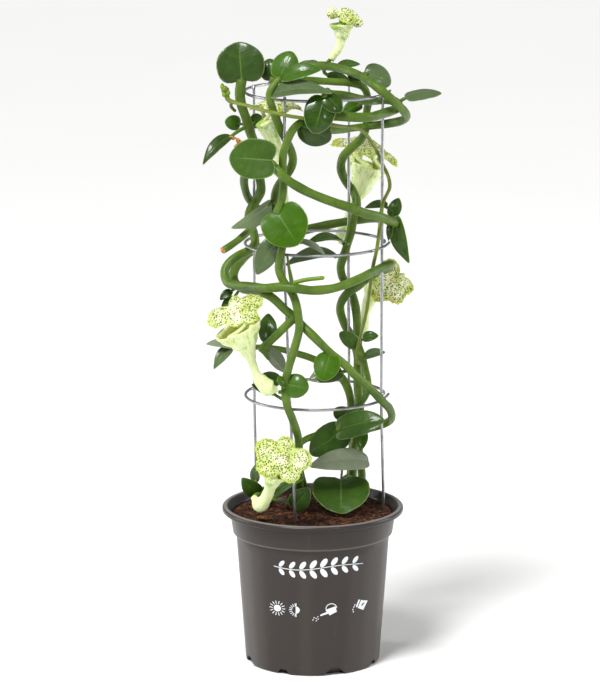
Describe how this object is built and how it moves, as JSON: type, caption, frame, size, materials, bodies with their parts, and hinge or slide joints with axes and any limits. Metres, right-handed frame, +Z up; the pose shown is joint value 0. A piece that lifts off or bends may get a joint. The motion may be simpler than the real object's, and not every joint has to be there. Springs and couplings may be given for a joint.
{
  "type": "parachute plant on a wire cage in a nursery pot",
  "caption": "Twining succulent vine with fleshy heart and round leaves and parachute flowers, trained round a wire cage in a soil-filled nursery pot.",
  "frame": {"origin": "middle of the pot's underside, on the pot's axis", "axes": "+Z up along the pot's axis, the side the picture shows faces -Y, +X to the right of that view"},
  "size_m": [0.1545, 0.1471, 0.4311],
  "materials": {
    "pot_plastic": "satin moulded taupe-grey polypropylene, paler rim lip",
    "soil_mix": "dark brown peat mix with orange-brown fibres",
    "bark": "dry orange-brown bark",
    "galvanised_wire": "galvanised, dull grey",
    "leafy_stem": "fleshy mid-green stems, darker satin leaves with pale margins",
    "young_green": "young green shoot and leaves",
    "pale_stem": "thin olive to yellow-green stem",
    "petal": "cream to yellow-green, mottled with dark green spots"
  },
  "bodies": {
    "root": {"pot": "pot_plastic", "soil": "soil_mix", "bark_chip": "bark", "cage_hoop_lower": "galvanised_wire", "cage_hoop_middle": "galvanised_wire", "cage_hoop_top": "galvanised_wire", "cage_upright_front": "galvanised_wire", "cage_upright_right": "galvanised_wire", "cage_upright_back": "galvanised_wire", "cage_upright_left": "galvanised_wire", "vine_front": "leafy_stem", "vine_hoops": "leafy_stem", "vine_low": "leafy_stem", "vine_back": "leafy_stem", "vine_loop": "leafy_stem", "young_shoot": "young_green", "flowering_stem": "pale_stem", "flower_top": "petal", "flower_back_left": "petal", "flower_back_right": "petal", "flower_right": "petal", "flower_left": "petal", "flower_low": "petal"}
  },
  "joints": []
}
